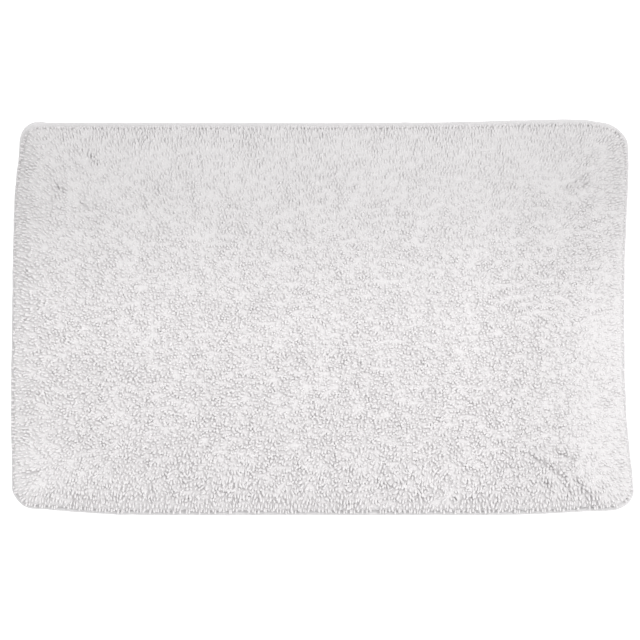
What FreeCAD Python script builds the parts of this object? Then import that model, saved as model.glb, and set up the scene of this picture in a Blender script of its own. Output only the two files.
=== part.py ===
"""Tufted cotton bath mat with a bound edge, lying flat.

Frame: +X along the length, +Y towards the back edge, +Z up, in millimetres. The origin is
the centre of the mat on the floor, so the underside of the latex backing is at Z 0.

From the floor up the mat is a latex backing, the back stitches of the tufts bedded in its
top, the woven base cloth that the tufts are sewn through, and the cut pile. A double-fold
cotton tape wraps the edge of the base cloth and is held by one lockstitch seam, with a
needle thread on the upper leg and a bobbin thread on the lower leg. A blank care label is
sewn into a shallow recess of the backing.
"""

import FreeCAD, Part
import math
import os
import Sketcher

SIZES = {
    # the finished mat, measured over the folded tape
    "mat_length": 762.0,
    "mat_width": 508.0,
    "corner_radius": 28.0,
    # layers: the coat below the back stitches, the cloth, and the pile above the cloth
    "coat_cover": 1.0,
    "cloth_thickness": 0.6,
    "pile_height": 20.0,
    # edge tape, two plies thick on each leg and round the fold
    "tape_ply": 0.7,
    "tape_leg": 11.0,
    "fold_radius": 1.3,
    # pile: how far its overhanging side stays inside the fold, and its rounded shoulders
    "pile_inset": 4.0,
    "pile_shoulder": 9.0,
    "pile_underside": 2.5,
    # rows of back stitches
    "row_pitch": 4.8,
    "row_breadth": 2.2,
    "row_depth": 0.7,
    "row_margin": 3.0,
    # lockstitch seam of the tape, from the fold to the middle of the thread
    "seam_inset": 8.0,
    "seam_thread": 0.5,
    "seam_sink": 0.4,
    # care label on the underside, near the back left corner
    "label_length": 60.0,
    "label_breadth": 30.0,
    "label_thickness": 0.4,
    "label_corner": 1.5,
    "label_from_side": 70.0,
    "label_from_back": 55.0,
    "label_seam_inset": 2.5,
    "label_seam_corner": 4.0,
    "label_thread": 0.5,
    "label_thread_height": 0.3,
    # clearances
    "soft_gap": 0.3,
    "floor_gap": 0.1,
}

HEM = "(2 * sizes.tape_ply)"
CLOTH_BASE = "(sizes.coat_cover + sizes.row_depth)"
CLOTH_TOP = f"({CLOTH_BASE} + sizes.cloth_thickness)"
INSIDE_TAPE = "(sizes.tape_leg + sizes.soft_gap)"
ROOT_HEIGHT = f"({HEM} + sizes.soft_gap)"
ROW_COUNT = (
    f"(floor((sizes.mat_width - 2 * ({INSIDE_TAPE} + sizes.row_margin) - sizes.row_breadth)"
    " / sizes.row_pitch) + 1)"
)
RECESS_DEPTH = "(sizes.label_thickness + sizes.label_thread_height + sizes.floor_gap)"
LABEL_X = "(-sizes.mat_length / 2 + sizes.label_from_side)"
LABEL_Y = "(sizes.mat_width / 2 - sizes.label_from_back)"

# how the sketcher numbers the points of a line or an arc, and the sketch's own origin
START, END, CENTRE = 1, 2, 3
SKETCH_ORIGIN = -1
PLACE_TOLERANCE = 1e-4


def make_sheet(doc):
    """Write the driving dimensions into a spreadsheet, one row each, with its alias."""
    sheet = doc.addObject("Spreadsheet::Sheet", "sizes")
    for row, (name, value) in enumerate(SIZES.items(), start=1):
        sheet.set(f"A{row}", name)
        sheet.set(f"B{row}", str(value))
        sheet.setAlias(f"B{row}", name)
    doc.recompute()
    return sheet


def make_body(doc, label, height="0", across="0", along="0"):
    """Start a body at a place given by expressions for its X, Y and Z."""
    body = doc.addObject("PartDesign::Body", label + "_body")
    body.Label = label
    body.setExpression("Placement.Base.x", along)
    body.setExpression("Placement.Base.y", across)
    body.setExpression("Placement.Base.z", height)
    return body


def make_sketch(body, name, level="0"):
    """Attach a sketch to the body's own XY plane, raised to a level given as an expression."""
    plane = next(item for item in body.Origin.OriginFeatures if item.Role == "XY_Plane")
    sketch = body.newObject("Sketcher::SketchObject", name)
    sketch.AttachmentSupport = [(plane, "")]
    sketch.MapMode = "FlatFace"
    sketch.setExpression("AttachmentOffset.Base.z", level)
    return sketch


def add_rounded_outline(sketch, name, length, breadth, radius):
    """Draw a centred rectangle with rounded corners, driven by three expressions."""
    half_x, half_y, corner = 40.0, 30.0, 10.0
    x, y = half_x - corner, half_y - corner
    sides = [
        ((-x, -half_y), (x, -half_y)),
        ((half_x, -y), (half_x, y)),
        ((x, half_y), (-x, half_y)),
        ((-half_x, y), (-half_x, -y)),
    ]
    corners = [((x, -y), -90), ((x, y), 0), ((-x, y), 90), ((-x, -y), 180)]
    first = sketch.GeometryCount
    for (start, end), (centre, angle) in zip(sides, corners):
        line = Part.LineSegment(FreeCAD.Vector(*start, 0), FreeCAD.Vector(*end, 0))
        circle = Part.Circle(FreeCAD.Vector(*centre, 0), FreeCAD.Vector(0, 0, 1), corner)
        sketch.addGeometry(line)
        sketch.addGeometry(
            Part.ArcOfCircle(circle, math.radians(angle), math.radians(angle + 90))
        )
    front, right, back, left = first, first + 2, first + 4, first + 6
    arcs = [side + 1 for side in (front, right, back, left)]

    def add(*arguments):
        return sketch.addConstraint(Sketcher.Constraint(*arguments))

    for step in range(8):
        add("Tangent", first + step, END, first + (step + 1) % 8, START)
    for side in (front, back):
        add("Horizontal", side)
    for side in (right, left):
        add("Vertical", side)
    for arc in arcs[1:]:
        add("Equal", arcs[0], arc)
    add("Symmetric", arcs[0], CENTRE, arcs[2], CENTRE, SKETCH_ORIGIN, START)
    drivers = (
        ("length", add("DistanceX", left, START, right, START, 2 * half_x), length),
        ("breadth", add("DistanceY", front, START, back, START, 2 * half_y), breadth),
        ("radius", add("Radius", arcs[0], corner), radius),
    )
    for driver, constraint, expression in drivers:
        sketch.renameConstraint(constraint, f"{name}_{driver}")
        sketch.setExpression(f".Constraints.{name}_{driver}", expression)


def add_mat_outline(sketch, name, inset):
    """Draw the mat's outline moved inwards by an inset, its corners staying concentric."""
    add_rounded_outline(
        sketch,
        name,
        f"sizes.mat_length - 2 * {inset}",
        f"sizes.mat_width - 2 * {inset}",
        f"sizes.corner_radius - {inset}",
    )


def add_label_outline(sketch, name, grow):
    """Draw the label's outline, grown by a margin on every side."""
    add_rounded_outline(
        sketch,
        name,
        f"sizes.label_length + 2 * {grow}",
        f"sizes.label_breadth + 2 * {grow}",
        f"sizes.label_corner + {grow}",
    )


def pad(body, sketch, height):
    """Raise a sketch to a height given as an expression."""
    feature = body.newObject("PartDesign::Pad", sketch.Name + "_pad")
    feature.Profile = sketch
    feature.setExpression("Length", height)
    sketch.Visibility = False
    return feature


def pocket(body, sketch, depth, upwards):
    """Cut a sketch into the body, upwards from its plane or downwards."""
    feature = body.newObject("PartDesign::Pocket", sketch.Name + "_pocket")
    feature.Profile = sketch
    feature.setExpression("Length", depth)
    feature.Reversed = upwards
    sketch.Visibility = False
    return feature


def inset_of(point, sheet):
    """Measure how far inside the mat's outline a point lies."""
    past_x = abs(point.x) - (sheet.mat_length / 2 - sheet.corner_radius)
    past_y = abs(point.y) - (sheet.mat_width / 2 - sheet.corner_radius)
    if past_x > 0 and past_y > 0:
        return sheet.corner_radius - math.hypot(past_x, past_y)
    return sheet.corner_radius - max(past_x, past_y)


def rim_edges(shape, sheet, level, inset):
    """Name the edges at one height that follow the mat's outline at a given inset."""
    names = []
    for number, edge in enumerate(shape.Edges, start=1):
        middle = edge.valueAt((edge.FirstParameter + edge.LastParameter) / 2)
        off_level = abs(edge.BoundBox.ZMin - level) + abs(edge.BoundBox.ZMax - level)
        off_line = abs(inset_of(middle, sheet) - inset)
        if max(off_level, off_line) < PLACE_TOLERANCE:
            names.append(f"Edge{number}")
    return names


def fillet(body, base, edges, radius):
    """Round some edges of a feature to a radius given as an expression."""
    feature = body.newObject("PartDesign::Fillet", base.Name + "_fillet")
    feature.Base = (base, edges)
    feature.setExpression("Radius", radius)
    return feature


def make_back_rows(doc):
    """Lay the rows of back stitches side by side and trim them inside the tape."""
    rows = make_body(
        doc,
        "back_row_blanks",
        height="sizes.coat_cover",
        across=f"-({ROW_COUNT} - 1) * sizes.row_pitch / 2",
    )
    sketch = make_sketch(rows, "back_row")
    add_rounded_outline(
        sketch,
        "row",
        "sizes.mat_length",
        "sizes.row_breadth",
        "sizes.row_breadth / 4",
    )
    row = pad(rows, sketch, "sizes.row_depth")
    pattern = rows.newObject("PartDesign::LinearPattern", "back_row_pattern")
    pattern.Originals = [row]
    pattern.Direction = (sketch, ["V_Axis"])
    pattern.Mode = "Spacing"
    pattern.setExpression("Offset", "sizes.row_pitch")
    pattern.setExpression("Occurrences", ROW_COUNT)
    rows.Tip = pattern

    field = make_body(doc, "back_row_field", height="sizes.coat_cover")
    outline = make_sketch(field, "back_row_limit")
    add_mat_outline(outline, "limit", f"({INSIDE_TAPE} + sizes.row_margin)")
    pad(field, outline, "sizes.row_depth")

    trimmed = doc.addObject("Part::Common", "tuft_back_stitches")
    trimmed.Label = "tuft_back_stitches"
    trimmed.Base = rows
    trimmed.Tool = field
    return trimmed


def make_latex_backing(doc, back_rows):
    """Cast the backing round the back stitches, with the recess that holds the label."""
    blank = make_body(doc, "latex_blank")
    outline = make_sketch(blank, "latex_outline")
    add_mat_outline(outline, "coat", INSIDE_TAPE)
    pad(blank, outline, CLOTH_BASE)
    recess = make_sketch(blank, "label_recess")
    add_label_outline(recess, "recess", "sizes.soft_gap")
    recess.setExpression("AttachmentOffset.Base.x", LABEL_X)
    recess.setExpression("AttachmentOffset.Base.y", LABEL_Y)
    pocket(blank, recess, RECESS_DEPTH, upwards=True)

    backing = doc.addObject("Part::Cut", "latex_backing")
    backing.Label = "latex_backing"
    backing.Base = blank
    backing.Tool = back_rows
    return backing


def make_base_cloth(doc):
    """Cut the woven cloth that carries the tufts, reaching into the fold of the tape."""
    body = make_body(doc, "base_cloth", height=CLOTH_BASE)
    outline = make_sketch(body, "cloth_outline")
    add_mat_outline(outline, "cloth", HEM)
    pad(body, outline, "sizes.cloth_thickness")
    return body


def make_edge_binding(doc):
    """Fold the tape round the cloth: lower leg, fold, upper leg and the two thread beds."""
    body = make_body(doc, "edge_binding", height=f"{CLOTH_BASE} - {HEM}")
    levels = (
        ("lower_leg", "0", "sizes.tape_leg", HEM),
        ("fold", HEM, HEM, "sizes.cloth_thickness"),
        ("upper_leg", f"{HEM} + sizes.cloth_thickness", "sizes.tape_leg", HEM),
    )
    for name, level, reach, height in levels:
        ring = make_sketch(body, name, level)
        add_mat_outline(ring, "outside", "0")
        add_mat_outline(ring, "inside", reach)
        pad(body, ring, height)

    top = f"(2 * {HEM} + sizes.cloth_thickness)"
    bed = make_sketch(body, "needle_thread_bed", top)
    add_seam_ring(bed)
    pocket(body, bed, "sizes.seam_sink", upwards=False)
    bed = make_sketch(body, "bobbin_thread_bed")
    add_seam_ring(bed)
    cut = pocket(body, bed, "sizes.seam_sink", upwards=True)

    doc.recompute()
    sheet = doc.sizes
    thickness = 4 * sheet.tape_ply + sheet.cloth_thickness
    rim = rim_edges(cut.Shape, sheet, 0, 0) + rim_edges(cut.Shape, sheet, thickness, 0)
    fillet(body, cut, rim, "sizes.fold_radius")
    return body


def add_seam_ring(sketch):
    """Draw the narrow ring that the seam thread follows."""
    add_mat_outline(sketch, "outer", "(sizes.seam_inset - sizes.seam_thread / 2)")
    add_mat_outline(sketch, "inner", "(sizes.seam_inset + sizes.seam_thread / 2)")


def make_seam_thread(doc, label, height):
    """Lay one thread of the lockstitch seam in its bed."""
    body = make_body(doc, label, height=height)
    ring = make_sketch(body, label + "_ring")
    add_seam_ring(ring)
    pad(body, ring, "sizes.seam_sink")
    return body


def make_cut_pile(doc):
    """Block out the pile: its roots inside the tape, and the mass that leans over the tape."""
    body = make_body(doc, "cut_pile", height=CLOTH_TOP)
    roots = make_sketch(body, "pile_roots")
    add_mat_outline(roots, "roots", INSIDE_TAPE)
    pad(body, roots, ROOT_HEIGHT)
    mass = make_sketch(body, "pile_mass", ROOT_HEIGHT)
    add_mat_outline(mass, "mass", "sizes.pile_inset")
    block = pad(body, mass, f"sizes.pile_height - {ROOT_HEIGHT}")

    doc.recompute()
    sheet = doc.sizes
    shoulder = rim_edges(block.Shape, sheet, sheet.pile_height, sheet.pile_inset)
    rounded = fillet(body, block, shoulder, "sizes.pile_shoulder")
    doc.recompute()
    overhang = 2 * sheet.tape_ply + sheet.soft_gap
    rim = rim_edges(rounded.Shape, sheet, overhang, sheet.pile_inset)
    fillet(body, rounded, rim, "sizes.pile_underside")
    return body


def make_care_label(doc):
    """Cut the blank label that lies in the recess, above its own stitches."""
    body = make_body(
        doc,
        "care_label",
        along=LABEL_X,
        across=LABEL_Y,
        height="sizes.floor_gap + sizes.label_thread_height",
    )
    outline = make_sketch(body, "label_outline")
    add_label_outline(outline, "label", "0")
    pad(body, outline, "sizes.label_thickness")
    return body


def make_label_thread(doc):
    """Run the stitches round the label, just inside its edge."""
    body = make_body(
        doc, "care_label_thread", along=LABEL_X, across=LABEL_Y, height="sizes.floor_gap"
    )
    ring = make_sketch(body, "label_seam")
    half = "sizes.label_thread / 2"
    for name, inset in (
        ("outer", f"(sizes.label_seam_inset - {half})"),
        ("inner", f"(sizes.label_seam_inset + {half})"),
    ):
        add_rounded_outline(
            ring,
            name,
            f"sizes.label_length - 2 * {inset}",
            f"sizes.label_breadth - 2 * {inset}",
            f"sizes.label_seam_corner + sizes.label_seam_inset - {inset}",
        )
    pad(body, ring, "sizes.label_thread_height")
    return body


def check(doc, pieces):
    """Stop if any object of the document failed, or any piece is null or invalid."""
    for item in doc.Objects:
        if "Invalid" in item.State or "Error" in item.State:
            raise RuntimeError(f"{item.Label} did not compute: {item.State}")
    for piece in pieces:
        if piece.Shape.isNull() or not piece.Shape.isValid() or not piece.Shape.Solids:
            raise RuntimeError(f"{piece.Label} is not a valid solid")


def main():
    """Build every piece, check them and write one STEP file for each."""
    doc = FreeCAD.newDocument("bath_mat")
    make_sheet(doc)
    back_rows = make_back_rows(doc)
    pieces = [
        make_latex_backing(doc, back_rows),
        back_rows,
        make_base_cloth(doc),
        make_cut_pile(doc),
        make_edge_binding(doc),
        make_seam_thread(
            doc, "binding_needle_thread", f"{CLOTH_TOP} + {HEM} - sizes.seam_sink"
        ),
        make_seam_thread(doc, "binding_bobbin_thread", f"{CLOTH_BASE} - {HEM}"),
        make_care_label(doc),
        make_label_thread(doc),
    ]
    doc.recompute()
    check(doc, pieces)
    os.makedirs("parts", exist_ok=True)
    for piece in pieces:
        piece.Shape.exportStep(f"parts/{piece.Label}.step")
        box = piece.Shape.optimalBoundingBox(False, False)
        print(
            f"{piece.Label}: {len(piece.Shape.Solids)} solids, {piece.Shape.Volume:.0f} mm3,"
            f" Z {box.ZMin:.2f} to {box.ZMax:.2f}, {box.XLength:.1f} x {box.YLength:.1f} mm"
        )


main()
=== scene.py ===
"""White cotton bath mat with a deep cut pile and a taped edge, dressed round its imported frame.

Every length is in metres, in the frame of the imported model: +X along the mat, +Y towards its
back edge, +Z up, with the floor at Z 0. Each sub-assembly is a class that holds its own
sizes; main() builds them from the floor up.
"""

import logging
import math
from dataclasses import dataclass, field
from enum import Enum
from typing import Sequence

import bpy
import numpy as np
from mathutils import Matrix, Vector


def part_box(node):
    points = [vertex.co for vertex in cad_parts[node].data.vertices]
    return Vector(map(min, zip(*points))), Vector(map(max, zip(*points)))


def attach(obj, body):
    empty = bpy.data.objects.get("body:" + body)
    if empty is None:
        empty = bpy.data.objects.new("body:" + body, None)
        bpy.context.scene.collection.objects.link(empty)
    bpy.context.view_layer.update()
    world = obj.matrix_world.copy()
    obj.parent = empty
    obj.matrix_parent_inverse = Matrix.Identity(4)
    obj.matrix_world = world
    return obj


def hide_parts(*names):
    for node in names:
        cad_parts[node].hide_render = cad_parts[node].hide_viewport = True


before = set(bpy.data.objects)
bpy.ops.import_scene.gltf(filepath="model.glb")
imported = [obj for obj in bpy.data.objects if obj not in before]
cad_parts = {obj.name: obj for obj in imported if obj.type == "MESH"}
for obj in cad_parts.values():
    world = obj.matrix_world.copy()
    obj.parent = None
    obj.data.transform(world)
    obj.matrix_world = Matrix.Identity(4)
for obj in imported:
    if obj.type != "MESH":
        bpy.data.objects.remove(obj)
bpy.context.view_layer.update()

MM = 0.001
BODY = "root"
BAKE_MAP = "OFBake"
Colour = tuple[float, float, float]
log = logging.getLogger("bath_mat")


def link(name: str, data: bpy.types.ID) -> bpy.types.Object:
    """Make an object of a mesh, a lamp or a camera and put it in the scene."""
    made = bpy.data.objects.new(name, data)
    bpy.context.scene.collection.objects.link(made)
    return made


class Slot(Enum):
    """The finishes that the record names."""

    PILE = "pile_yarn"
    CLOTH = "base_weave"
    LATEX = "latex"
    TAPE = "edge_tape"
    THREAD = "sewing_thread"
    LABEL = "label_ribbon"


class Graph:
    """Adds and links the nodes of one tree, so that a recipe reads like its formulas."""

    def __init__(self, tree: bpy.types.NodeTree) -> None:
        """Start from an empty tree.

        Args:
            tree: The shader or geometry tree to fill.
        """
        self.tree = tree
        tree.nodes.clear()

    def add(self, kind: str, inputs: dict | None = None, **settings) -> bpy.types.Node:
        """Add a node, set its properties and feed its inputs.

        Args:
            kind: Blender's name of the node's type.
            inputs: Socket name or number to a value or to another node's output.
            settings: Properties of the node, set before its inputs.

        Returns:
            The new node.
        """
        node = self.tree.nodes.new(kind)
        for name, value in settings.items():
            setattr(node, name, value)
        for key, value in (inputs or {}).items():
            self.feed(node.inputs[key], value)
        return node

    def feed(self, socket: bpy.types.NodeSocket, value) -> None:
        """Link an output to a socket, or set the socket's own value."""
        if isinstance(value, bpy.types.NodeSocket):
            self.tree.links.new(value, socket)
        else:
            socket.default_value = value

    def maths(self, operation: str, a, b=0.0, c=0.0) -> bpy.types.NodeSocket:
        """Work out one sum on plain numbers and return its result."""
        node = self.add("ShaderNodeMath", {0: a, 1: b, 2: c}, operation=operation)
        return node.outputs[0]

    def vector(self, operation: str, a, b=(0.0, 0.0, 0.0)) -> bpy.types.NodeSocket:
        """Work out one sum on two vectors and return the vector."""
        node = self.add("ShaderNodeVectorMath", {0: a, 1: b}, operation=operation)
        return node.outputs[0]

    def scaled(self, vector, factor) -> bpy.types.NodeSocket:
        """Multiply a vector by a number."""
        node = self.add(
            "ShaderNodeVectorMath", {0: vector, "Scale": factor}, operation="SCALE"
        )
        return node.outputs[0]

    def inside(self, value, margin: float) -> bpy.types.NodeSocket:
        """Squeeze a number from 0 to 1 so that it keeps a margin at both ends."""
        return self.maths("MULTIPLY_ADD", value, 1 - 2 * margin, margin)

    def noise(self, where, scale: float, detail: float) -> bpy.types.NodeSocket:
        """Draw soft noise over a place, about 0 to 1."""
        inputs = {"Vector": where, "Scale": scale, "Detail": detail}
        return self.add("ShaderNodeTexNoise", inputs).outputs["Fac"]

    def joined(self, x=0.0, y=0.0, z=0.0) -> bpy.types.NodeSocket:
        """Make one vector of three numbers."""
        return self.add("ShaderNodeCombineXYZ", {0: x, 1: y, 2: z}).outputs[0]

    def split(self, vector) -> Sequence[bpy.types.NodeSocket]:
        """Take a vector apart into its three numbers."""
        return self.add("ShaderNodeSeparateXYZ", {0: vector}).outputs


class Recipe(Graph):
    """A Geometry Nodes tree with named inputs, which ends in the finished geometry."""

    def __init__(self, name: str) -> None:
        """Make the tree with its geometry input and output.

        Args:
            name: The tree's name.
        """
        super().__init__(bpy.data.node_groups.new(name, "GeometryNodeTree"))
        for way in ("INPUT", "OUTPUT"):
            self.tree.interface.new_socket(
                "Geometry", in_out=way, socket_type="NodeSocketGeometry"
            )
        self.source = self.add("NodeGroupInput")
        self.defaults: dict[str, float | int] = {}

    def size(self, name: str, value: float | int) -> bpy.types.NodeSocket:
        """Declare a named number that the tree takes, and return it.

        Args:
            name: What the number is.
            value: The number, a float for a length or an int for a count or a seed.

        Returns:
            The socket that carries it inside the tree.
        """
        kind = "NodeSocketInt" if isinstance(value, int) else "NodeSocketFloat"
        self.tree.interface.new_socket(name, in_out="INPUT", socket_type=kind)
        self.defaults[name] = value
        return self.source.outputs[name]

    def named(self, name: str, kind: str = "FLOAT") -> bpy.types.NodeSocket:
        """Read a named attribute."""
        node = self.add("GeometryNodeInputNamedAttribute", {"Name": name}, data_type=kind)
        return next(out for out in node.outputs if out.enabled)

    def keep(self, geometry, name: str, value, kind="FLOAT", domain="POINT"):
        """Store a named attribute on the geometry and return the geometry."""
        node = self.add(
            "GeometryNodeStoreNamedAttribute",
            {"Geometry": geometry, "Name": name},
            data_type=kind,
            domain=domain,
        )
        self.feed(next(i for i in node.inputs if i.name == "Value" and i.enabled), value)
        return node.outputs[0]

    def random(self, low: float, high: float, seed) -> bpy.types.NodeSocket:
        """Draw one number for each element, the same on every run."""
        node = self.add("FunctionNodeRandomValue", data_type="FLOAT")
        wanted = {"Min": low, "Max": high, "Seed": seed}
        for socket in node.inputs:
            if socket.enabled and socket.name in wanted:
                self.feed(socket, wanted[socket.name])
        return next(out for out in node.outputs if out.enabled)

    def strands(self, points, rings) -> bpy.types.NodeSocket:
        """Stand a straight strand on each point, cut into rings, as separate curves.

        Args:
            points: The points, whose attributes the strands inherit.
            rings: How many rings each strand has.

        Returns:
            The strands.
        """
        line = self.add("GeometryNodeCurvePrimitiveLine", {"End": (0.0, 0.0, 1.0)})
        line = self.add("GeometryNodeResampleCurve", {"Curve": line.outputs[0], "Count": rings})
        placed = self.add(
            "GeometryNodeInstanceOnPoints", {"Points": points, "Instance": line.outputs[0]}
        )
        return self.add("GeometryNodeRealizeInstances", {0: placed.outputs[0]}).outputs[0]

    def skin(self, curves, girth, sides: int) -> bpy.types.NodeSocket:
        """Sweep a round section along curves and close both ends.

        Args:
            curves: The strands.
            girth: The radius at each ring.
            sides: How many corners the section has.

        Returns:
            The tubes, with the way round them as the attribute "around".
        """
        curves = self.add("GeometryNodeSetCurveRadius", {"Curve": curves, "Radius": girth})
        ring = self.add("GeometryNodeCurvePrimitiveCircle", {"Resolution": sides, "Radius": 1.0})
        around = self.add("GeometryNodeSplineParameter").outputs["Factor"]
        mirrored = self.maths("ABSOLUTE", self.maths("MULTIPLY_ADD", around, 2.0, -1.0))
        profile = self.keep(ring.outputs["Curve"], "around", mirrored)
        tubes = self.add(
            "GeometryNodeCurveToMesh",
            {"Curve": curves.outputs[0], "Profile Curve": profile, "Fill Caps": True},
        )
        if "Scale" in tubes.inputs:
            self.feed(tubes.inputs["Scale"], self.add("GeometryNodeInputRadius").outputs[0])
        return tubes.outputs[0]

    def close(self, geometry, finish: bpy.types.Material, spent: Sequence[str]) -> None:
        """End the tree: drop spent attributes, shade smooth, realize and set the material."""
        for name in spent:
            geometry = self.add(
                "GeometryNodeRemoveAttribute", {"Geometry": geometry, "Name": name}
            ).outputs[0]
        geometry = self.add("GeometryNodeSetShadeSmooth", {"Geometry": geometry}).outputs[0]
        geometry = self.add("GeometryNodeRealizeInstances", {0: geometry}).outputs[0]
        geometry = self.add(
            "GeometryNodeSetMaterial", {"Geometry": geometry, "Material": finish}
        ).outputs[0]
        self.add("NodeGroupOutput", {0: geometry})

    def grow(
        self, name: str, seeds: bpy.types.Mesh, finish: bpy.types.Material
    ) -> bpy.types.Object:
        """Run the tree on a mesh and return the result as a plain object.

        Args:
            name: The piece's name.
            seeds: The mesh that the tree reads, removed afterwards.
            finish: The material, which the tree has set as well.

        Returns:
            An object at the origin with no modifier.
        """
        seed_object = link(name + "_seeds", seeds)
        modifier = seed_object.modifiers.new("recipe", "NODES")
        modifier.node_group = self.tree
        for item in self.tree.interface.items_tree:
            if item.in_out == "INPUT" and item.name in self.defaults:
                modifier[item.identifier] = self.defaults[item.name]
        graph = bpy.context.evaluated_depsgraph_get()
        made = bpy.data.meshes.new_from_object(
            seed_object.evaluated_get(graph), preserve_all_data_layers=True, depsgraph=graph
        )
        bpy.data.objects.remove(seed_object)
        bpy.data.meshes.remove(seeds)
        made.name = name
        made.materials.clear()
        made.materials.append(finish)
        return link(name, made)


@dataclass(frozen=True)
class Tug:
    """One pull on a soft mat, strongest at a corner and dying away over its reach."""

    side_x: int
    side_y: int
    pull_x: float
    pull_y: float
    reach: float


@dataclass(frozen=True)
class Settling:
    """How a soft mat strays from its drawn outline where it lies; a bow moves a side outwards."""

    back_bow: float = -0.3 * MM
    front_bow: float = -0.8 * MM
    left_bow: float = 1.0 * MM
    right_bow: float = -2.5 * MM
    tugs: tuple[Tug, ...] = (
        Tug(-1, 1, 9 * MM, -1 * MM, 60 * MM),
        Tug(-1, 1, -5 * MM, 4 * MM, 28 * MM),
        Tug(1, 1, 9 * MM, 6 * MM, 170 * MM),
        Tug(1, 1, -3 * MM, -11 * MM, 40 * MM),
        Tug(-1, -1, 3 * MM, 9.5 * MM, 95 * MM),
        Tug(1, -1, 8 * MM, 7.5 * MM, 95 * MM),
    )

    def moved(self, points: np.ndarray, half_x: float, half_y: float) -> np.ndarray:
        """Shift points sideways as the mat lies.

        Args:
            points: Places as drawn, one row each.
            half_x: Half of the mat's length.
            half_y: Half of its width.

        Returns:
            The shifted places.
        """
        result = np.array(points, float)
        u, v = result[:, 0] / half_x, result[:, 1] / half_y
        along_x, along_y = (1 - u**2).clip(0), (1 - v**2).clip(0)
        result[:, 0] += along_y * ((u + 1) / 2 * self.right_bow - (1 - u) / 2 * self.left_bow)
        result[:, 1] += along_x * ((v + 1) / 2 * self.back_bow - (1 - v) / 2 * self.front_bow)
        for tug in self.tugs:
            away = np.hypot((u - tug.side_x) * half_x, (v - tug.side_y) * half_y)
            share = np.exp(-((away / tug.reach) ** 2))
            result[:, 0] += share * tug.pull_x
            result[:, 1] += share * tug.pull_y
        return result


@dataclass(frozen=True)
class MatOutline:
    """The mat's plan: a rectangle with rounded corners, and how it settles on the floor."""

    half_x: float
    half_y: float
    corner: float = 28 * MM
    settling: Settling = field(default_factory=Settling)

    def inset(self, x: np.ndarray, y: np.ndarray) -> np.ndarray:
        """Measure how far inside the drawn outline each place lies."""
        past_x = np.abs(x) - (self.half_x - self.corner)
        past_y = np.abs(y) - (self.half_y - self.corner)
        outside = np.hypot(past_x.clip(0), past_y.clip(0))
        return self.corner - outside - np.minimum(np.maximum(past_x, past_y), 0)

    def outward(self, x: np.ndarray, y: np.ndarray, sharpness: float) -> np.ndarray:
        """Point each place towards its nearest side.

        Args:
            x: Places along the mat.
            y: Places across the mat.
            sharpness: How abruptly one side's pull gives way to the next one's.

        Returns:
            One (x, y) direction each, shorter where opposite sides balance.
        """
        gap = np.stack(
            [self.half_x - x, self.half_x + x, self.half_y - y, self.half_y + y], axis=1
        ).clip(4 * MM)
        weight = gap**-sharpness
        weight /= weight.sum(axis=1, keepdims=True)
        sides = np.array([(1, 0), (-1, 0), (0, 1), (0, -1)], float)
        return weight @ sides

    def path(self, inset: float, step: float) -> tuple[np.ndarray, np.ndarray]:
        """Walk once round the mat at an inset.

        Args:
            inset: How far inside the drawn outline the walk runs.
            step: The longest distance between two stations.

        Returns:
            The stations and their outward directions, both as (x, y) rows.
        """
        radius = self.corner - inset
        centre_x, centre_y = self.half_x - self.corner, self.half_y - self.corner
        turns = ((1, -1, -90), (1, 1, 0), (-1, 1, 90), (-1, -1, 180))
        stations, normals = [], []
        arc_steps = max(6, math.ceil(radius * math.pi / 2 / step))
        for number, (side_x, side_y, start) in enumerate(turns):
            angles = np.radians(start + np.linspace(0, 90, arc_steps, endpoint=False))
            ray = np.stack([np.cos(angles), np.sin(angles)], axis=1)
            centre = np.array([side_x * centre_x, side_y * centre_y])
            stations.append(centre + radius * ray)
            normals.append(ray)
            ray_out = np.array(
                [math.cos(math.radians(start + 90)), math.sin(math.radians(start + 90))]
            )
            next_x, next_y, _ = turns[(number + 1) % 4]
            run_from = centre + radius * ray_out
            run_to = np.array([next_x * centre_x, next_y * centre_y]) + radius * ray_out
            length = np.linalg.norm(run_to - run_from)
            share = np.linspace(0, 1, math.ceil(length / step), endpoint=False)[:, None]
            stations.append(run_from + share * (run_to - run_from))
            normals.append(np.repeat(ray_out[None], len(share), axis=0))
        return np.concatenate(stations), np.concatenate(normals)

    def grid(self, inset: float, step_x: float, step_y: float) -> tuple[np.ndarray, np.ndarray]:
        """Lay a grid over the plan, its scan lines narrowing into the rounded corners.

        Args:
            inset: How far inside the drawn outline the grid ends.
            step_x: The longest distance between two places on a scan line.
            step_y: The longest distance between two scan lines.

        Returns:
            The places along the mat and across it, one row for each scan line.
        """
        reach_x, reach_y = self.half_x - inset, self.half_y - inset
        lines = np.linspace(-reach_y, reach_y, math.ceil(2 * reach_y / step_y) + 1)
        radius = self.corner - inset
        past = (np.abs(lines) - (self.half_y - self.corner)).clip(0, radius)
        ends = self.half_x - self.corner + np.sqrt((radius**2 - past**2).clip(0))
        share = np.linspace(-1, 1, math.ceil(2 * reach_x / step_x) + 1)
        return ends[:, None] * share[None], np.repeat(lines[:, None], len(share), axis=1)

    def rows(self, inset: float, pitch: float, spacing: float) -> tuple[np.ndarray, ...]:
        """Lay the straight rows that the tufting needles run in, over the whole plan.

        Args:
            inset: How far inside the straight sides the rows end.
            pitch: The distance between two rows.
            spacing: The distance between two places on a row.

        Returns:
            The places along the mat and across it, and the number of each one's row.
        """
        reach_x, reach_y = self.half_x - inset, self.half_y - inset
        columns = np.arange(-reach_x, reach_x, spacing)
        count = int(2 * reach_y / pitch) + 1
        lines = (np.arange(count) - (count - 1) / 2) * pitch
        x, y = (grid.ravel() for grid in np.meshgrid(columns, lines))
        return x, y, np.repeat(np.arange(count), len(columns))

    def settled(self, points: np.ndarray) -> np.ndarray:
        """Move drawn places to where the mat lies; rows of (x, y) or of (x, y, z)."""
        return self.settling.moved(points, self.half_x, self.half_y)


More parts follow.
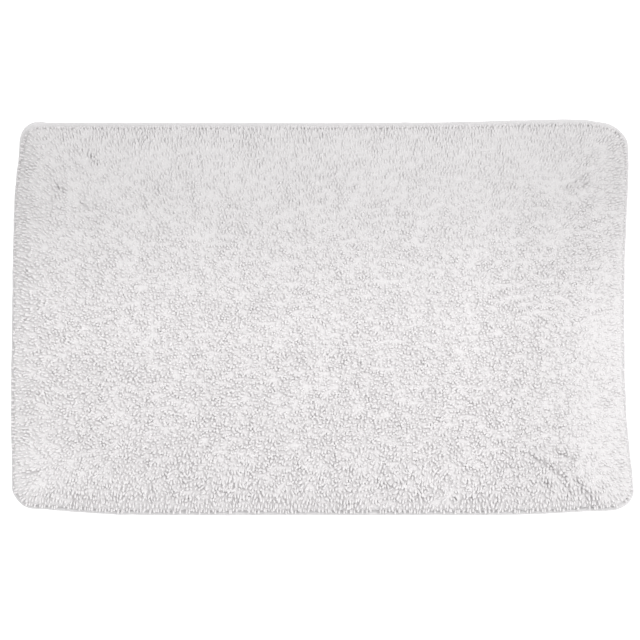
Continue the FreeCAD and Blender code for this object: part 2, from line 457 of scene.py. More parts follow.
@dataclass(frozen=True)
class Ripple:
    """A smooth random surface of plane waves, which strays about as far as its height.

    The shortest wave is a third of the longest, and the seed picks the surface.
    """

    height: float
    waves: int
    longest: float
    seed: int

    def over(self, x: np.ndarray, y: np.ndarray) -> np.ndarray:
        """Give the surface's height over each place."""
        draw = np.random.default_rng(self.seed)
        total = np.zeros_like(x)
        for _ in range(self.waves):
            heading, phase = draw.uniform(0, 2 * np.pi, 2)
            number = 2 * np.pi / (self.longest * draw.uniform(1 / 3, 1))
            total += np.sin(number * (x * np.cos(heading) + y * np.sin(heading)) + phase)
        return self.height * (total / math.sqrt(self.waves))


def plain_mesh(name: str, points: np.ndarray, faces: Sequence = ()) -> bpy.types.Mesh:
    """Make a mesh from places and faces."""
    mesh = bpy.data.meshes.new(name)
    mesh.from_pydata([tuple(p) for p in points], [], faces)
    mesh.update()
    return mesh


def mark(mesh: bpy.types.Mesh, name: str, values: np.ndarray) -> None:
    """Store a number or a vector for each point of a mesh, as a named attribute."""
    kind, key = ("FLOAT_VECTOR", "vector") if values.ndim == 2 else ("FLOAT", "value")
    layer = mesh.attributes.new(name, kind, "POINT")
    layer.data.foreach_set(key, values.astype(np.float32).ravel())


def place(name: str, mesh: bpy.types.Mesh, finish: bpy.types.Material) -> bpy.types.Object:
    """Put a mesh in the scene with its material, shaded smooth."""
    mesh.materials.clear()
    mesh.materials.append(finish)
    mesh.shade_smooth()
    return link(name, mesh)


def slab(
    outline: MatOutline, name: str, x: np.ndarray, y: np.ndarray, shaped: np.ndarray, flat: float
) -> bpy.types.Mesh:
    """Make a closed slab of a grid of places, one face of it shaped and the other flat.

    Args:
        outline: The mat's plan, which settles the places.
        name: The mesh's name.
        x: The grid's places along the mat, one row for each scan line.
        y: Its places across the mat.
        shaped: The height of the shaped face over each place.
        flat: The height of the flat face, above or below the shaped one.

    Returns:
        The mesh, its faces outwards.
    """
    rows, columns = x.shape
    number = np.arange(rows * columns).reshape(rows, columns)
    faces = np.stack(
        [number[:-1, :-1], number[:-1, 1:], number[1:, 1:], number[1:, :-1]], axis=-1
    ).reshape(-1, 4)
    loop = np.concatenate([number[0, :-1], number[:-1, -1], number[-1, :0:-1], number[:0:-1, 0]])
    far = rows * columns + np.arange(len(loop))
    walls = np.stack([loop, far, np.roll(far, -1), np.roll(loop, -1)], axis=-1)
    shell = [*faces.tolist(), *walls.tolist(), far[::-1].tolist()]
    if flat > shaped.mean():
        shell = [face[::-1] for face in shell]
    places = np.column_stack([x.ravel(), y.ravel(), shaped.ravel()])
    rim = places[loop].copy()
    rim[:, 2] = flat
    return plain_mesh(name, outline.settled(np.concatenate([places, rim])), shell)


def fit(piece: bpy.types.Object, node: str) -> bpy.types.Object:
    """Tie a piece to the body, hide the node it stands for and log its faces."""
    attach(piece, BODY)
    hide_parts(node)
    log.info("%s: %d faces", piece.name, len(piece.data.polygons))
    return piece


@dataclass(frozen=True)
class PaintedNapShade:
    """A side of the mat towards which the pile's colour is painted greyer: painted shade where the
    pile is brushed flat.
    """

    axis: int
    painted_shade: float
    start: float
    end: float


# Painted shade: the pile's colour greys towards the back half and towards the right end.
PAINTED_NAP_SHADES = (
    PaintedNapShade(axis=1, painted_shade=0.145, start=-40 * MM, end=200 * MM),
    PaintedNapShade(axis=0, painted_shade=0.035, start=180 * MM, end=300 * MM),
)


class Finish:
    """What every material here shares: a Principled shader and a few ready patterns."""

    name = "finish"

    def start(self) -> tuple[bpy.types.Material, Graph, bpy.types.Node]:
        """Make an empty material.

        Returns:
            The material, its graph and its Principled node.
        """
        material = bpy.data.materials.new(self.name)
        material.use_nodes = True
        graph = Graph(material.node_tree)
        shader = graph.add("ShaderNodeBsdfPrincipled")
        graph.add("ShaderNodeOutputMaterial", {"Surface": shader.outputs[0]})
        return material, graph, shader

    @staticmethod
    def emboss(
        graph: Graph, shader: bpy.types.Node, height, strength: float, depth: float
    ) -> None:
        """Raise the surface by a height, as bump."""
        inputs = {"Strength": strength, "Distance": depth, "Height": height}
        graph.feed(shader.inputs["Normal"], graph.add("ShaderNodeBump", inputs).outputs[0])

    @staticmethod
    def soften(shader: bpy.types.Node, roughness: float, sheen: float) -> None:
        """Give the shader the dull, fuzzy look of fibre."""
        shader.inputs["Roughness"].default_value = roughness
        shader.inputs["Specular IOR Level"].default_value = 0.25
        shader.inputs["Sheen Weight"].default_value = sheen
        shader.inputs["Sheen Roughness"].default_value = 0.45

    @staticmethod
    def mottle(graph: Graph, where, colour: Colour, spread: float, patch: float):
        """Vary a colour softly from place to place and return it."""
        cloud = graph.noise(where, 1 / patch, 3.0)
        bright = graph.maths("MULTIPLY_ADD", cloud, 2 * spread, 1 - spread)
        return graph.scaled(colour, bright)

    @staticmethod
    def paint_nap_shade(graph: Graph, colour):
        """Paint shade into a colour towards the sides where the pile is brushed flat, and return
        it.
        """
        sides = graph.split(graph.add("ShaderNodeTexCoord").outputs["Object"])
        for shaded_side in PAINTED_NAP_SHADES:
            limits = {"Value": sides[shaded_side.axis], "From Min": shaded_side.start, "From Max": shaded_side.end}
            limits.update({"To Min": 1.0, "To Max": 1 - shaded_side.painted_shade})
            shade = graph.add("ShaderNodeMapRange", limits, interpolation_type="SMOOTHSTEP")
            colour = graph.scaled(colour, shade.outputs[0])
        return colour

    @staticmethod
    def ramp(graph: Graph, factor, stops: Sequence[tuple[float, Sequence[float]]]):
        """Turn a number into a colour between stops."""
        node = graph.add("ShaderNodeValToRGB", {"Fac": factor})
        elements = node.color_ramp.elements
        while len(elements) < len(stops):
            elements.new(0.5)
        for element, (position, colour) in zip(elements, stops):
            element.position = position
            element.color = (*colour, 1.0)
        return node.outputs["Color"]


@dataclass(frozen=True)
class PileCotton(Finish):
    """Bulky cotton pile yarn, each tuft its own tint, with painted light on its cut end and painted
    shade towards the back.
    """

    name: str = "pile_cotton"
    side_colour: Colour = (0.725, 0.71, 0.714)
    painted_lit_end_colour: Colour = (0.78, 0.765, 0.769)
    shades: int = 24
    shade_spread: float = 0.05

    def make(self) -> bpy.types.Material:
        """Build the material, which reads the tufts' own map."""
        material, graph, shader = self.start()
        across, along, _ = graph.split(graph.add("ShaderNodeUVMap", uv_map=BAKE_MAP).outputs[0])
        cell = graph.maths("FLOOR", graph.maths("MULTIPLY", across, float(self.shades)))
        chance = graph.add("ShaderNodeTexWhiteNoise", {"W": cell}, noise_dimensions="1D")
        # Painted light: the cut end of each leg is painted whiter than its side.
        colour = self.ramp(graph, along, ((0.82, self.side_colour), (0.96, self.painted_lit_end_colour)))
        bright = graph.maths(
            "MULTIPLY_ADD", chance.outputs["Value"], self.shade_spread, 1 - self.shade_spread / 2
        )
        # Painted shade towards the back half and the right end.
        colour = self.paint_nap_shade(graph, graph.scaled(colour, bright))
        graph.feed(shader.inputs["Base Color"], colour)
        fibres = graph.joined(
            graph.maths("MULTIPLY", across, 14.0 * self.shades), graph.maths("MULTIPLY", along, 5.0)
        )
        self.emboss(graph, shader, graph.noise(fibres, 1.0, 2.0), strength=0.5, depth=0.15 * MM)
        self.soften(shader, roughness=0.92, sheen=0.25)
        return material


@dataclass(frozen=True)
class FluffCotton(Finish):
    """The same cotton where the fibres have opened and lie against each other."""

    name: str = "pile_fluff_cotton"
    colour: Colour = (0.72, 0.705, 0.709)
    unevenness: float = 0.09
    patch: float = 3.2 * MM
    fibre: float = 2.2 * MM

    def make(self) -> bpy.types.Material:
        """Build the material, which reads the piece's own places."""
        material, graph, shader = self.start()
        where = graph.add("ShaderNodeTexCoord").outputs["Object"]
        colour = self.mottle(graph, where, self.colour, self.unevenness, self.patch)
        # Painted shade towards the back half and the right end.
        graph.feed(shader.inputs["Base Color"], self.paint_nap_shade(graph, colour))
        strands = graph.noise(where, 1 / self.fibre, 3.0)
        self.emboss(graph, shader, strands, strength=0.8, depth=1.4 * MM)
        self.soften(shader, roughness=0.95, sheen=0.25)
        return material


@dataclass(frozen=True)
class WovenCotton(Finish):
    """Plain-woven cotton: threads over and under each other, a little uneven."""

    name: str = "woven_cotton"
    colour: Colour = (0.66, 0.65, 0.655)
    thread: float = 0.55 * MM
    relief: float = 0.12 * MM
    slubs: float = 700.0
    unevenness: float = 0.04

    def make(self) -> bpy.types.Material:
        """Build the material, which reads the piece's own places."""
        material, graph, shader = self.start()
        where = graph.add("ShaderNodeTexCoord").outputs["Object"]
        colour = self.mottle(graph, where, self.colour, self.unevenness, patch=9 * MM)
        graph.feed(shader.inputs["Base Color"], colour)
        x, y, _ = graph.split(where)
        waves = [
            graph.maths("SINE", graph.maths("MULTIPLY", side, math.pi / self.thread))
            for side in (x, y)
        ]
        crossing = graph.maths("MULTIPLY", *waves)
        slubs = graph.noise(where, self.slubs, 2.0)
        height = graph.maths("MULTIPLY_ADD", slubs, 0.8, crossing)
        self.emboss(graph, shader, height, strength=0.6, depth=self.relief)
        self.soften(shader, roughness=0.85, sheen=0.4)
        return material


@dataclass(frozen=True)
class LatexCoat(Finish):
    """Milky latex, wiped on by a blade: slightly glossy, with fine pores."""

    name: str = "latex_coat"
    colour: Colour = (0.74, 0.72, 0.66)
    stitch: float = 3.3 * MM
    pore: float = 0.7 * MM

    def make(self) -> bpy.types.Material:
        """Build the material, which reads the piece's own places."""
        material, graph, shader = self.start()
        where = graph.add("ShaderNodeTexCoord").outputs["Object"]
        colour = self.mottle(graph, where, self.colour, spread=0.06, patch=25 * MM)
        graph.feed(shader.inputs["Base Color"], colour)
        x, _, _ = graph.split(where)
        lumps = graph.maths("SINE", graph.maths("MULTIPLY", x, 2 * math.pi / self.stitch))
        pores = graph.add(
            "ShaderNodeTexVoronoi", {"Vector": where, "Scale": 1 / self.pore, "Randomness": 1.0}
        )
        pits = graph.maths("MINIMUM", graph.maths("MULTIPLY", pores.outputs["Distance"], 4.0), 1.0)
        height = graph.maths("MULTIPLY_ADD", lumps, 0.5, pits)
        self.emboss(graph, shader, height, strength=0.5, depth=0.15 * MM)
        shader.inputs["Roughness"].default_value = 0.5
        return material


@dataclass(frozen=True)
class PlyThread(Finish):
    """Hard sewing thread: three plies wound round each other, with painted shade in the grooves
    between them.
    """

    name: str = "ply_thread"
    colour: Colour = (0.82, 0.81, 0.815)
    turns: float = 6.0

    def make(self) -> bpy.types.Material:
        """Build the material, which reads the stitches' own map."""
        material, graph, shader = self.start()
        around, along, _ = graph.split(graph.add("ShaderNodeUVMap", uv_map=BAKE_MAP).outputs[0])
        wound = graph.maths("MULTIPLY_ADD", along, self.turns, around)
        wave = graph.maths("SINE", graph.maths("MULTIPLY", wound, math.pi))
        groove = graph.maths("ABSOLUTE", wave)
        # Painted shade: the grooves between the plies are painted a tenth darker.
        painted_groove_shade = tuple(0.9 * part for part in self.colour)
        colour = self.ramp(graph, groove, ((0.0, painted_groove_shade), (0.4, self.colour)))
        graph.feed(shader.inputs["Base Color"], colour)
        self.emboss(graph, shader, groove, strength=0.6, depth=0.08 * MM)
        self.soften(shader, roughness=0.6, sheen=0.2)
        return material


@dataclass(frozen=True)
class SatinRibbon(Finish):
    """Blank satin ribbon: fine lengthwise ribs with a soft gloss."""

    name: str = "satin_ribbon"
    colour: Colour = (0.84, 0.84, 0.83)
    rib: float = 0.35 * MM

    def make(self) -> bpy.types.Material:
        """Build the material, which reads the piece's own places."""
        material, graph, shader = self.start()
        where = graph.add("ShaderNodeTexCoord").outputs["Object"]
        colour = self.mottle(graph, where, self.colour, spread=0.02, patch=6 * MM)
        graph.feed(shader.inputs["Base Color"], colour)
        _, y, _ = graph.split(where)
        ribs = graph.maths("SINE", graph.maths("MULTIPLY", y, 2 * math.pi / self.rib))
        self.emboss(graph, shader, ribs, strength=0.4, depth=0.05 * MM)
        self.soften(shader, roughness=0.38, sheen=0.25)
        return material


@dataclass(frozen=True)
class Parting:
    """A short line along which the pile has fallen open to both sides.

    The ends are whole millimetres on the mat as drawn, so that the list of them stays short.
    """

    start: tuple[float, float]
    end: tuple[float, float]
    half_width: float = 2.2 * MM

    def opened(self, points: np.ndarray) -> tuple[np.ndarray, np.ndarray]:
        """Measure how far the pile is open at each place.

        Args:
            points: The (x, y) places.

        Returns:
            A share from 0 to 1, and the direction away from the line, for each place.
        """
        start, run = np.array(self.start) * MM, (np.array(self.end) - self.start) * MM
        along = ((points - start) @ run / (run @ run)).clip(0, 1)
        away = points - start - along[:, None] * run
        distance = np.linalg.norm(away, axis=1)
        share = np.exp(-((distance / self.half_width) ** 2))
        return share, away / distance.clip(0.1 * MM)[:, None]


PARTINGS = (
    Parting((261, -180), (300, -212)),
    Parting((309, -211), (336, -240)),
    Parting((290, -176), (312, -190)),
    Parting((276, -213), (285, -225)),
    Parting((318, -226), (327, -240)),
    Parting((300, -218), (305, -229)),
    Parting((-328, 167), (-318, 159)),
    Parting((-288, 207), (-276, 195)),
    Parting((-296, 145), (-287, 135)),
    Parting((303, 158), (328, 177)),
    Parting((320, 160), (330, 165)),
    Parting((-300, -234), (-306, -241)),
    Parting((-289, -232), (-293, -241)),
    Parting((-345, -205), (-362, -214)),
)


@dataclass
class CutPile:
    """The field of cut tufts: cotton yarn legs standing in rows and leaning outwards."""

    outline: MatOutline
    floor_z: float
    top_z: float
    first_inset: float = 12.8 * MM
    row_pitch: float = 4.8 * MM
    leg_spacing: float = 3.3 * MM
    yarn_radius: float = 1.7 * MM
    scatter: float = 1.5 * MM
    combing: tuple[float, float] = (0.55, 1.0)
    sharpness: float = 1.7
    edge_reach: float = 9 * MM
    edge_trim: float = 0.28
    back_reach: float = 20 * MM
    back_trim: float = -0.06
    splay: float = 1.05
    lean_middle: float = 0.1
    lean_sides: float = 0.2
    lean_reach: float = 120 * MM
    lean_combed: float = 0.12
    lean_back: float = -0.22
    combed_reach: float = 190 * MM
    corner_comb: float = 1.2
    corner_reach: float = 85 * MM
    unevenness: float = 0.05
    flop_reach: float = 3.4 * MM
    flop_drop: float = 1.4 * MM
    flop_from: float = 0.5
    flop_fade: float = 90 * MM
    flop_middle: float = 0.3
    flop_sides: float = 0.8
    flop_combed: float = 0.9
    root_share: float = 0.3
    tip_share: float = 1.5
    edge_calm: float = 0.8
    combed_calm: float = 0.7
    swirls: tuple[Ripple, Ripple] = (Ripple(1.0, 16, 80 * MM, 22), Ripple(1.0, 16, 80 * MM, 23))
    eddies: tuple[Ripple, Ripple] = (Ripple(1.0, 20, 26 * MM, 24), Ripple(1.0, 20, 26 * MM, 25))
    wild_lean: tuple[float, float] = (0.07, 0.03)
    wild_flop: tuple[float, float] = (0.2, 0.25)
    stray_flop: float = 0.45
    least_pull: float = 0.5
    partings: tuple[Parting, ...] = PARTINGS
    parting_push: float = 0.1
    swell: tuple[tuple[float, float], ...] = (
        (0.0, 1.0), (0.3, 1.5), (0.56, 1.4), (0.77, 1.1), (0.92, 1.0), (1.0, 0.6)
    )
    sections_x: int = 4
    sections_y: int = 2
    seed: int = 20

    def roots(self) -> np.ndarray:
        """Place the legs on their rows, a little scattered, inside the tape."""
        draw = np.random.default_rng(self.seed)
        x, y, row = self.outline.rows(self.first_inset, self.row_pitch, self.leg_spacing)
        x = x + (row % 2) * self.leg_spacing / 2 + draw.uniform(-1, 1, len(x)) * self.scatter
        y = y + draw.uniform(-1, 1, len(y)) * self.scatter
        inside = self.outline.inset(x, y) > self.first_inset
        return np.stack([x[inside], y[inside]], axis=1)

    def nearness(self, x: np.ndarray, y: np.ndarray) -> tuple[np.ndarray, np.ndarray, np.ndarray]:
        """Measure how near each leg is to the mat's sides.

        Args:
            x: Places along the mat.
            y: Places across the mat.

        Returns:
            Three shares from 0 to 1: near any side, near the back, and in the combed part.
        """
        edge = np.exp(-(self.outline.inset(x, y) - self.first_inset).clip(0) / self.edge_reach)
        from_back = self.outline.half_y - self.first_inset - y
        back = np.exp(-from_back.clip(0) / self.back_reach)
        combed = np.exp(-((from_back / self.combed_reach) ** 2))
        return edge, back, np.maximum(combed, self.corner_comb * self.cornered(x, y))

    def cornered(self, x: np.ndarray, y: np.ndarray) -> np.ndarray:
        """Measure how near each leg is to a corner, from 0 to 1."""
        away = np.hypot(self.outline.half_x - np.abs(x), self.outline.half_y - np.abs(y))
        return np.exp(-((away / self.corner_reach) ** 2))

    def tilt(self, x: np.ndarray, y: np.ndarray) -> np.ndarray:
        """Work out how far the legs lean outwards at each place, in radians."""
        edge, back, combed = self.nearness(x, y)
        sides = np.exp(-self.outline.inset(x, y) / self.lean_reach)
        lean = self.lean_middle + self.lean_sides * sides + self.lean_combed * combed
        return lean + self.lean_back * edge * back

    def splayed(self, x: np.ndarray, y: np.ndarray) -> tuple[np.ndarray, np.ndarray]:
        """Find the share of the edge's splay at each place, and the legs' mean lean there."""
        edge, back, _ = self.nearness(x, y)
        share = edge * (1 - back)
        mean = (self.root_share + self.tip_share) / 2
        return share, (1 - share) * mean * self.tilt(x, y) + share * self.splay

    def trim(self, x: np.ndarray, y: np.ndarray) -> np.ndarray:
        """Shorten the legs next to the tape, most of all along the back."""
        edge, back, _ = self.nearness(x, y)
        return 1 - edge * (self.edge_trim + self.back_trim * back)

    def habits(self, roots: np.ndarray) -> dict[str, np.ndarray]:
        """Work out how each leg leans at its root and tip, and how its cut end flops over.

        Args:
            roots: The legs' (x, y) places.

        Returns:
            The leans in radians and the flops in metres, one (x, y, 0) row each.
        """
        x, y = roots.T
        draw = np.random.default_rng(self.seed + 1)
        edge, _, combed = (share[:, None] for share in self.nearness(x, y))
        straight = self.outline.outward(x, y, self.sharpness)
        along_x, along_y = self.combing
        along_x += (along_y - along_x) * self.cornered(x, y)
        outward = straight * np.column_stack([along_x, np.full(len(x), along_y)])
        calm = 1 - self.edge_calm * edge
        swirl, eddy = (
            np.stack([wave.over(x, y) for wave in pair], axis=1)
            for pair in (self.swirls, self.eddies)
        )
        by_swirl, by_eddy = self.wild_lean
        lean = outward * self.tilt(x, y)[:, None] + calm * (by_swirl * swirl + by_eddy * eddy)
        lean += calm * draw.normal(0, self.unevenness, lean.shape)
        for parting in self.partings:
            open_share, away = parting.opened(roots)
            lean += self.parting_push * open_share[:, None] * away
        share = np.exp(-self.outline.inset(x, y) / self.flop_fade)[:, None]
        reach = self.flop_middle + self.flop_sides * share + self.flop_combed * combed
        flop = reach * (1 - edge) * outward
        wild = calm * (1 - self.combed_calm * combed)
        by_swirl, by_eddy = self.wild_flop
        stray = draw.normal(0, self.stray_flop, lean.shape)
        flop += wild * (by_swirl * swirl + by_eddy * eddy + stray)
        splayed = self.splayed(x, y)[0][:, None]
        length = np.linalg.norm(straight, axis=1, keepdims=True)
        splay = splayed * self.splay * straight / length.clip(self.least_pull)
        ways = {
            "lean_root": (1 - splayed) * self.root_share * lean + splay,
            "lean_tip": (1 - splayed) * self.tip_share * lean + splay,
            "flop": self.flop_reach * flop,
        }
        return {name: np.hstack([way, np.zeros((len(x), 1))]) for name, way in ways.items()}

    def recipe(self, finish: bpy.types.Material) -> Recipe:
        """Write the tree that grows one curved, blunt-ended yarn leg on each root.

        Args:
            finish: The pile's material.

        Returns:
            The tree.
        """
        tree = Recipe("tuft_recipe")
        length = tree.size("Tuft Length", self.top_z - self.floor_z)
        radius = tree.size("Yarn Radius", self.yarn_radius)
        rings = tree.size("Rings", 6)
        drop = tree.size("Flop Drop", self.flop_drop)
        seed = tree.size("Seed", self.seed)

        place_now = tree.add("GeometryNodeInputPosition").outputs[0]
        roots = tree.keep(tree.source.outputs["Geometry"], "root", place_now, "FLOAT_VECTOR")
        spreads = {"own_length": (0.93, 1.07), "own_girth": (0.85, 1.15), "own_shade": (0.0, 1.0)}
        for offset, (name, (low, high)) in enumerate(spreads.items()):
            draw_seed = tree.maths("ADD", seed, float(offset))
            roots = tree.keep(roots, name, tree.random(low, high, draw_seed))
        legs = tree.strands(roots, rings)

        step = tree.add("GeometryNodeSplineParameter").outputs["Factor"]
        left = tree.maths("POWER", tree.maths("SUBTRACT", 1.0, step), 1.5)
        legs = tree.keep(legs, "share", tree.maths("SUBTRACT", 1.0, left))
        share = tree.named("share")
        spot = self.leg_line(tree, share, length, drop)
        legs = tree.add("GeometryNodeSetPosition", {"Geometry": legs, "Position": spot}).outputs[0]

        girth = tree.maths("MULTIPLY", radius, self.bulge(tree, share))
        own_girth = tree.maths("MULTIPLY", tree.named("own_girth"), tree.named("trim"))
        girth = tree.maths("MULTIPLY", girth, own_girth)
        skin = tree.skin(legs, girth, sides=5)
        shades = float(PileCotton.shades)
        cell = tree.maths("FLOOR", tree.maths("MULTIPLY", tree.named("own_shade"), shades - 0.01))
        across = tree.inside(tree.named("around"), 0.15)
        across = tree.maths("DIVIDE", tree.maths("ADD", cell, across), shades)
        along = tree.inside(tree.named("share"), 0.02)
        skin = tree.keep(skin, BAKE_MAP, tree.joined(across, along), "FLOAT2", "CORNER")
        habits = ("lean_root", "lean_tip", "flop", "trim")
        tree.close(skin, finish, (*spreads, "root", "share", "around", *habits))
        return tree

    def leg_line(self, tree: Recipe, share, length, drop) -> bpy.types.NodeSocket:
        """Bend each leg from its lean at the root to its lean at the tip, and flop its cut end.

        Args:
            tree: The tree being written.
            share: How far along the leg each ring is.
            length: The legs' common length.
            drop: How much a flopped end sinks.

        Returns:
            The place of each ring.
        """
        lean_root = tree.named("lean_root", "FLOAT_VECTOR")
        turn = tree.vector("SUBTRACT", tree.named("lean_tip", "FLOAT_VECTOR"), lean_root)
        halfway = tree.scaled(turn, tree.maths("MULTIPLY", share, 0.5))
        lean = tree.vector("ADD", lean_root, halfway)
        angle = tree.add("ShaderNodeVectorMath", {0: lean}, operation="LENGTH").outputs["Value"]
        own_length = tree.maths("MULTIPLY", tree.named("trim"), tree.named("own_length"))
        run = tree.maths("MULTIPLY", tree.maths("MULTIPLY", length, own_length), share)
        out = tree.maths("MULTIPLY", run, tree.maths("SINE", angle))
        up = tree.maths("MULTIPLY", run, tree.maths("COSINE", angle))
        sideways = tree.scaled(tree.vector("NORMALIZE", lean), out)
        spot = tree.vector("ADD", tree.named("root", "FLOAT_VECTOR"), sideways)
        past = tree.maths("SUBTRACT", share, self.flop_from)
        past = tree.maths("DIVIDE", tree.maths("MAXIMUM", past, 0.0), 1 - self.flop_from)
        flop = tree.named("flop", "FLOAT_VECTOR")
        spot = tree.vector("ADD", spot, tree.scaled(flop, tree.maths("POWER", past, 2.0)))
        sink = tree.maths("MULTIPLY", drop, tree.maths("POWER", past, 3.0))
        return tree.vector("ADD", spot, tree.joined(z=tree.maths("SUBTRACT", up, sink)))

    def bulge(self, tree: Recipe, share) -> bpy.types.NodeSocket:
        """Swell the leg where its neighbours hold it, and round off its cut end."""
        most = max(value for _, value in self.swell)
        curve = tree.add("ShaderNodeFloatCurve", {"Value": share})
        points = curve.mapping.curves[0].points
        for position, value in self.swell[1:-1]:
            points.new(position, value / most)
        for end in (0, -1):
            position, value = self.swell[end]
            points[end].location = (position, value / most)
        curve.mapping.update()
        return tree.maths("MULTIPLY", curve.outputs[0], most)

    def build(self, finish: bpy.types.Material) -> list[bpy.types.Object]:
        """Grow the tufts in sections, each its own piece.

        Args:
            finish: The pile's material.

        Returns:
            The sections.
        """
        roots = self.roots()
        habits, trim = self.habits(roots), self.trim(*roots.T)
        drawn = np.column_stack([roots, np.full(len(roots), self.floor_z)])
        settled = self.outline.settled(drawn)
        recipe = self.recipe(finish)
        band_x, band_y = (
            np.digitize(side, np.quantile(side, np.arange(1, count) / count))
            for side, count in zip(roots.T, (self.sections_x, self.sections_y))
        )
        sections = []
        for number in range(self.sections_x * self.sections_y):
            chosen = (band_x * self.sections_y + band_y) == number
            seeds = plain_mesh("tuft_roots", settled[chosen])
            for name, values in habits.items():
                mark(seeds, name, values[chosen])
            mark(seeds, "trim", trim[chosen])
            section = recipe.grow(f"cut_pile_section_{number + 1}", seeds, finish)
            sections.append(fit(section, "cut_pile"))
        log.info("%d tufts", len(roots))
        return sections


@dataclass
class PileFluff:
    """The opened fibre that fills the room between the legs, up to just under their ends."""

    pile: CutPile
    inset: float = 10.5 * MM
    shoulder: float = 4 * MM
    step: float = 2.4 * MM
    fill: float = 0.725
    edge_fill: float = 0.06
    combed_fill: float = 0.145
    brushed_fill: float = 0.12
    brushed_reach: float = 85 * MM
    front_reach: float = 9 * MM
    parting_dip: float = 0.2
    sharpness: float = 3.0
    lift: float = 0.6 * MM
    bumps: Ripple = Ripple(0.4 * MM, 40, 9 * MM, 51)
    patches: Ripple = Ripple(0.2 * MM, 24, 110 * MM, 52)

    def build(self, finish: bpy.types.Material) -> bpy.types.Object:
        """Build the mass as one closed, bumpy cushion that leans as the legs do.

        Args:
            finish: The fluff's material.

        Returns:
            The piece.
        """
        outline, floor_z = self.pile.outline, self.pile.floor_z
        grid_x, grid_y = outline.grid(self.inset, self.step, self.step)
        x, y = grid_x.ravel(), grid_y.ravel()
        depth = outline.inset(x, y) - self.inset
        rise = np.sqrt(1 - (1 - (depth / self.shoulder).clip(0, 1)) ** 2)
        edge, _, combed = self.pile.nearness(x, y)
        brushed = np.exp(-(((outline.half_x - x) / self.brushed_reach) ** 2))
        fill = self.fill + np.maximum(self.combed_fill * combed, self.brushed_fill * brushed)
        front = np.exp(-(y + outline.half_y - self.inset).clip(0) / self.front_reach)
        fill += self.edge_fill * edge * (1 - front)
        points = np.stack([x, y], axis=1)
        open_shares = [parting.opened(points)[0] for parting in self.pile.partings]
        fill -= self.parting_dip * np.max(open_shares, axis=0)
        splayed, lean = self.pile.splayed(x, y)
        reach = (self.pile.top_z - floor_z) * fill * self.pile.trim(x, y)
        full = reach * np.cos(lean) + (self.bumps.over(x, y) + self.patches.over(x, y))
        height = (floor_z + self.lift + full * rise).reshape(grid_x.shape)
        outward = outline.outward(x, y, self.sharpness)
        shift = (splayed * reach * np.sin(lean) * rise)[:, None] * outward
        shift_x, shift_y = (part.reshape(grid_x.shape) for part in shift.T)
        mesh = slab(outline, "pile_fluff", grid_x + shift_x, grid_y + shift_y, height, floor_z)
        return fit(place("pile_fluff", mesh, finish), "cut_pile")


class Side(Enum):
    """Which way a face or a stitch looks."""

    UP = 1
    DOWN = -1


@dataclass
class StitchRun:
    """One thread of a seam, seen as a stitch between every two needle holes."""

    name: str
    node: str
    surface: float
    side: Side
    pitch: float = 3.4 * MM
    share_seen: float = 0.88
    thread: float = 0.3 * MM
    sunk: float = 0.12 * MM
    rise: float = 0.22 * MM
    slack: tuple[float, float] = (0.85, 1.15)

    def build(
        self, places: np.ndarray, headings: np.ndarray, finish: bpy.types.Material
    ) -> bpy.types.Object:
        """Lay a stitch over each place.

        Args:
            places: The stitches' middles, as (x, y) rows.
            headings: Which way the seam runs there, as (x, y) rows.
            finish: The thread's material.

        Returns:
            The piece.
        """
        heights = np.full(len(places), self.surface)
        seeds = plain_mesh("needle_holes", np.column_stack([places, heights]))
        mark(seeds, "heading", np.column_stack([headings, np.zeros(len(headings))]))
        return fit(self.recipe(finish).grow(self.name, seeds, finish), self.node)

    def recipe(self, finish: bpy.types.Material) -> Recipe:
        """Write the tree that draws each stitch tight between its holes."""
        tree = Recipe(self.name + "_recipe")
        length = tree.size("Stitch Length", self.pitch * self.share_seen)
        radius = tree.size("Thread Radius", self.thread)
        rise = tree.size("Rise", self.rise)
        place_now = tree.add("GeometryNodeInputPosition").outputs[0]
        holes = tree.keep(tree.source.outputs["Geometry"], "root", place_now, "FLOAT_VECTOR")
        holes = tree.keep(holes, "slack", tree.random(*self.slack, tree.size("Seed", 7)))
        lines = tree.strands(holes, tree.size("Rings", 5))
        step = tree.add("GeometryNodeSplineParameter").outputs["Factor"]
        lines = tree.keep(lines, "share", step)
        off = tree.maths("MULTIPLY_ADD", tree.named("share"), 2.0, -1.0)
        reach = tree.maths("MULTIPLY", tree.maths("MULTIPLY", off, 0.5), length)
        arch = tree.maths("SUBTRACT", 1.0, tree.maths("POWER", tree.maths("ABSOLUTE", off), 3.0))
        arch = tree.maths("MULTIPLY", tree.maths("MULTIPLY", arch, rise), tree.named("slack"))
        height = tree.maths("SUBTRACT", arch, self.sunk)
        height = tree.maths("MULTIPLY", height, float(self.side.value))
        spot = tree.vector(
            "ADD",
            tree.named("root", "FLOAT_VECTOR"),
            tree.scaled(tree.named("heading", "FLOAT_VECTOR"), reach),
        )
        spot = tree.vector("ADD", spot, tree.joined(z=height))
        moved = tree.add("GeometryNodeSetPosition", {"Geometry": lines, "Position": spot})
        girth = tree.maths("MULTIPLY", radius, tree.named("slack"))
        skin = tree.skin(moved.outputs[0], girth, sides=6)
        flat = tree.joined(*(tree.inside(tree.named(name), 0.05) for name in ("around", "share")))
        skin = tree.keep(skin, BAKE_MAP, flat, "FLOAT2", "CORNER")
        tree.close(skin, finish, ("root", "share", "around", "slack", "heading"))
        return tree


